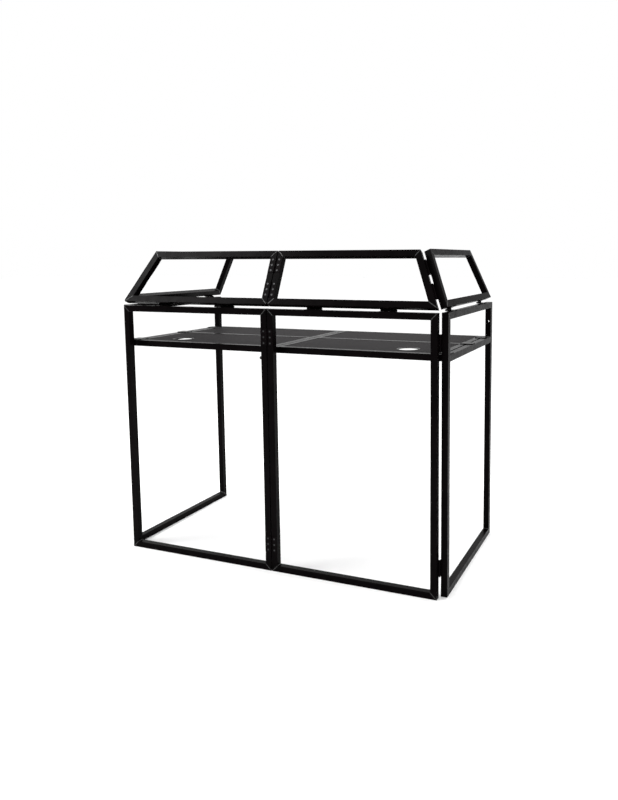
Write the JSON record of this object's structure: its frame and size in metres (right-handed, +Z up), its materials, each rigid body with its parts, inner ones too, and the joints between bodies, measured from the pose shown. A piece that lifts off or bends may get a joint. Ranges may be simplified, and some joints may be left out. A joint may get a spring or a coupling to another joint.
{
  "type": "folding booth frame with table",
  "caption": "Folding black steel tube booth: front and side frames joined by hinges, a leaning upper frame around the top, and a table in two halves with cable ports.",
  "frame": {"origin": "on the floor, under the centre of the whole object, front hinge barrels included", "axes": "+X to the right seen from the front, +Y to the open back, +Z up"},
  "size_m": [1.4404, 0.7082, 1.2764],
  "materials": {
    "frame_black": "fine-textured satin black powder coat",
    "hinge_black": "satin black",
    "screw_zinc": "zinc plated, slightly dull",
    "table_board": "dark grey composite panel, faintly streaked",
    "black_plastic": "moulded matt black"
  },
  "bodies": {
    "front_left": {"front_left_frame": "frame_black", "centre_leaf_a": "hinge_black", "centre_pins": "hinge_black", "corner_left_leaf_a": "hinge_black", "corner_left_pins": "hinge_black", "tilt_front_left_leaf_a": "hinge_black", "tilt_front_left_pins": "hinge_black", "front_left_screws": "screw_zinc", "table_rest_left": "hinge_black"},
    "front_right": {"front_right_frame": "frame_black", "centre_leaf_b": "hinge_black", "corner_right_leaf_a": "hinge_black", "corner_right_pins": "hinge_black", "tilt_front_right_leaf_a": "hinge_black", "tilt_front_right_pins": "hinge_black", "front_right_screws": "screw_zinc", "table_rest_right": "hinge_black"},
    "side_left": {"side_left_frame": "frame_black", "corner_left_leaf_b": "hinge_black", "tilt_side_left_leaf_a": "hinge_black", "tilt_side_left_pins": "hinge_black", "side_left_screws": "screw_zinc"},
    "side_right": {"side_right_frame": "frame_black", "corner_right_leaf_b": "hinge_black", "tilt_side_right_leaf_a": "hinge_black", "tilt_side_right_pins": "hinge_black", "side_right_screws": "screw_zinc"},
    "top_front_left": {"top_front_left_frame": "frame_black", "tilt_front_left_leaf_b": "hinge_black", "top_centre_leaf_a": "hinge_black", "top_centre_pins": "hinge_black", "top_corner_left_leaf_a": "hinge_black", "top_corner_left_pins": "hinge_black", "top_front_left_screws": "screw_zinc"},
    "top_front_right": {"top_front_right_frame": "frame_black", "tilt_front_right_leaf_b": "hinge_black", "top_centre_leaf_b": "hinge_black", "top_corner_right_leaf_a": "hinge_black", "top_corner_right_pins": "hinge_black", "top_front_right_screws": "screw_zinc"},
    "top_side_left": {"top_side_left_frame": "frame_black", "tilt_side_left_leaf_b": "hinge_black", "top_corner_left_leaf_b": "hinge_black", "top_side_left_screws": "screw_zinc"},
    "top_side_right": {"top_side_right_frame": "frame_black", "tilt_side_right_leaf_b": "hinge_black", "top_corner_right_leaf_b": "hinge_black", "top_side_right_screws": "screw_zinc"},
    "table_left": {"table_left_frame": "frame_black", "table_left_front_board": "table_board", "table_left_rear_board": "table_board", "table_left_hooks": "frame_black", "table_left_cable_ring": "black_plastic"},
    "table_right": {"table_right_frame": "frame_black", "table_right_front_board": "table_board", "table_right_rear_board": "table_board", "table_right_hooks": "frame_black", "table_right_cable_ring": "black_plastic"},
    "knob": {"lock_knob": "black_plastic", "lock_knob_stud": "screw_zinc"}
  },
  "joints": [
    {"name": "centre_fold", "type": "hinge", "parent": "front_left", "child": "front_right", "pos_m": [0, -0.35095, 0.525], "axis": [0, 0, -1], "range_deg": [0, 180]},
    {"name": "side_left_swing", "type": "hinge", "parent": "front_left", "child": "side_left", "pos_m": [-0.6919, -0.31935, 0.525], "axis": [0, 0, 1], "range_deg": [0, 90]},
    {"name": "side_right_swing", "type": "hinge", "parent": "front_right", "child": "side_right", "pos_m": [0.6919, -0.31935, 0.525], "axis": [0, 0, -1], "range_deg": [0, 90]},
    {"name": "top_front_left_tilt", "type": "hinge", "parent": "front_left", "child": "top_front_left", "pos_m": [-0.346, -0.32045, 1.0533], "axis": [1, 0, 0], "range_deg": [0, 25]},
    {"name": "top_front_right_tilt", "type": "hinge", "parent": "front_right", "child": "top_front_right", "pos_m": [0.346, -0.32045, 1.0533], "axis": [1, 0, 0], "range_deg": [0, 25]},
    {"name": "top_side_left_tilt", "type": "hinge", "parent": "side_left", "child": "top_side_left", "pos_m": [-0.6862, 0.02035, 1.0533], "axis": [0, -1, 0], "range_deg": [0, 25]},
    {"name": "top_side_right_tilt", "type": "hinge", "parent": "side_right", "child": "top_side_right", "pos_m": [0.6862, 0.02035, 1.0533], "axis": [0, 1, 0], "range_deg": [0, 25]},
    {"name": "table_left_lift", "type": "slide", "parent": "front_left", "child": "table_left", "axis": [0, 0, 1], "range_m": [0, 0.1]},
    {"name": "table_right_lift", "type": "slide", "parent": "front_right", "child": "table_right", "axis": [0, 0, 1], "range_m": [0, 0.1]},
    {"name": "lock_knob_turn", "type": "hinge", "parent": "front_left", "child": "knob", "pos_m": [-0.027, -0.33515, 0.857], "axis": [-1, 0, 0], "range_deg": [0, 360]}
  ],
  "couplings": [
    {"joint": "top_front_right_tilt", "follows": "top_front_left_tilt", "ratio": 1},
    {"joint": "top_side_left_tilt", "follows": "top_front_left_tilt", "ratio": 1},
    {"joint": "top_side_right_tilt", "follows": "top_front_left_tilt", "ratio": 1}
  ]
}
